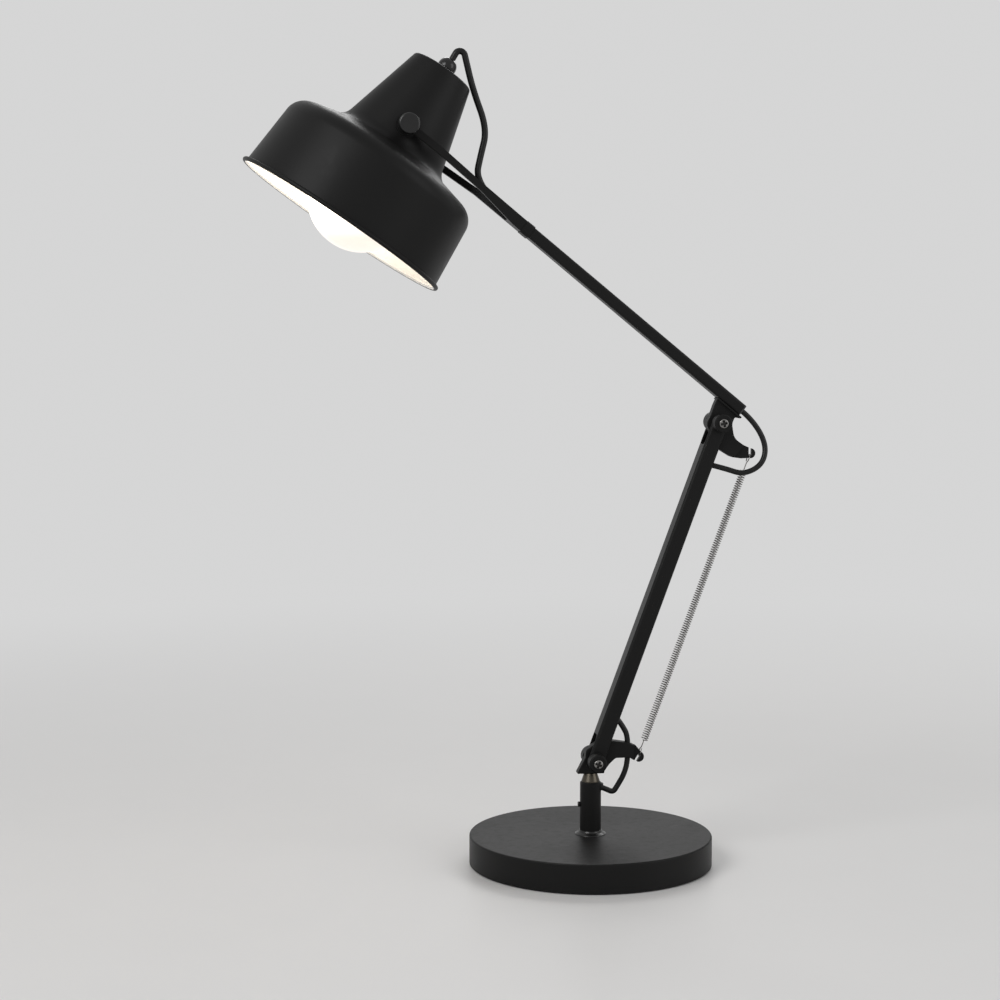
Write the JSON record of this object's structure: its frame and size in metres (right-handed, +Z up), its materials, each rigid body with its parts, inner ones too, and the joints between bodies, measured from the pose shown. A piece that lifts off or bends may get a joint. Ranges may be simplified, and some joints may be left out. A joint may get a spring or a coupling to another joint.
{
  "type": "desk lamp",
  "caption": "Desk lamp with a round weighted base, two jointed arms, a balance spring at the elbow side and a bell shade held in a fork.",
  "frame": {"origin": "centre of the base's underside, on the table", "axes": "+Z up; both arms move in the XZ plane, the shade hangs towards -X; -Y is the side the picture was taken from"},
  "size_m": [0.4902, 0.238, 0.7593],
  "materials": {
    "black_steel": "matte black powder coat on steel",
    "black_casting": "satin black casting",
    "black_tube": "matte black coated tube",
    "shade_metal": "satin black outside, white inside",
    "gloss_black": "glossy black",
    "bright_steel": "bright plated steel",
    "iron": "cast iron",
    "pad": "soft pad",
    "lead": "satin black sheath",
    "nylon": "nylon",
    "holder": "white moulded lampholder",
    "ceramic": "ceramic insert",
    "brass": "brass",
    "cap": "bare aluminium",
    "opal": "opal glass"
  },
  "bodies": {
    "base": {"base_cover": "black_steel", "base_weight": "iron", "base_plate": "black_steel", "plate_screws": "bright_steel", "base_pad": "pad", "stud_bush": "nylon", "post_collar": "gloss_black", "supply_gland": "lead"},
    "swivel": {"post": "black_steel", "post_stud": "bright_steel", "stud_nut": "bright_steel", "stud_washer": "bright_steel", "post_grommet": "lead", "post_neck": "black_steel", "neck_screw": "black_steel", "lower_bracket": "black_casting", "shoulder_washers": "nylon", "post_lead": "lead"},
    "lower_arm": {"lower_arm_tube": "black_tube", "shoulder_bolt": "bright_steel", "shoulder_nut": "bright_steel", "shoulder_cap_near": "black_casting", "shoulder_cap_far": "black_casting", "elbow_bolt": "bright_steel", "elbow_nut": "bright_steel", "elbow_cap_near": "black_casting", "elbow_cap_far": "black_casting", "lower_arm_lead": "lead", "shoulder_lead": "lead", "balance_spring": "bright_steel"},
    "upper_arm": {"elbow_bracket": "black_casting", "elbow_washers": "nylon", "bracket_rivets": "bright_steel", "upper_arm_tube": "black_tube", "upper_arm_plug": "nylon", "fork_ferrule": "black_casting", "shade_fork": "black_tube", "fork_washers": "nylon", "upper_arm_lead": "lead", "elbow_lead": "lead"},
    "shade": {"shade_shell": "shade_metal", "shade_boss_near": "black_casting", "shade_boss_far": "black_casting", "pivot_pin_near": "bright_steel", "pivot_pin_far": "bright_steel", "lamp_gland": "gloss_black", "gland_nut": "black_steel", "lamp_nipple": "bright_steel", "lampholder": "holder", "lampholder_skirt": "holder", "lampholder_core": "ceramic", "socket_contact": "brass", "bulb_cap": "cap", "bulb_glass": "opal", "head_lead": "lead"},
    "knob_near": {"knob_near": "gloss_black"},
    "knob_far": {"knob_far": "gloss_black"}
  },
  "joints": [
    {"name": "base_swivel", "type": "hinge", "parent": "base", "child": "swivel", "pos_m": [0, 0, 0.028], "axis": [0, 0, 1], "range_deg": [-170, 170]},
    {"name": "shoulder", "type": "hinge", "parent": "swivel", "child": "lower_arm", "pos_m": [0.0036, 0, 0.099], "axis": [0, 1, 0], "range_deg": [-40, 25], "deforming": ["shoulder_lead", "balance_spring"]},
    {"name": "elbow", "type": "hinge", "parent": "lower_arm", "child": "upper_arm", "pos_m": [0.12055, 0, 0.41772], "axis": [0, 1, 0], "range_deg": [-45, 30], "deforming": ["elbow_lead", "balance_spring"]},
    {"name": "shade_tilt", "type": "hinge", "parent": "upper_arm", "child": "shade", "pos_m": [-0.17527, 0, 0.6862], "axis": [0, 1, 0], "range_deg": [-6, 50], "deforming": ["head_lead"]},
    {"name": "knob_near_turn", "type": "hinge", "parent": "shade", "child": "knob_near", "pos_m": [-0.17527, -0.06, 0.6862], "axis": [0, 1, 0], "range_deg": [-90, 90]},
    {"name": "knob_far_turn", "type": "hinge", "parent": "shade", "child": "knob_far", "pos_m": [-0.17527, 0.06, 0.6862], "axis": [0, 1, 0], "range_deg": [-90, 90]}
  ]
}
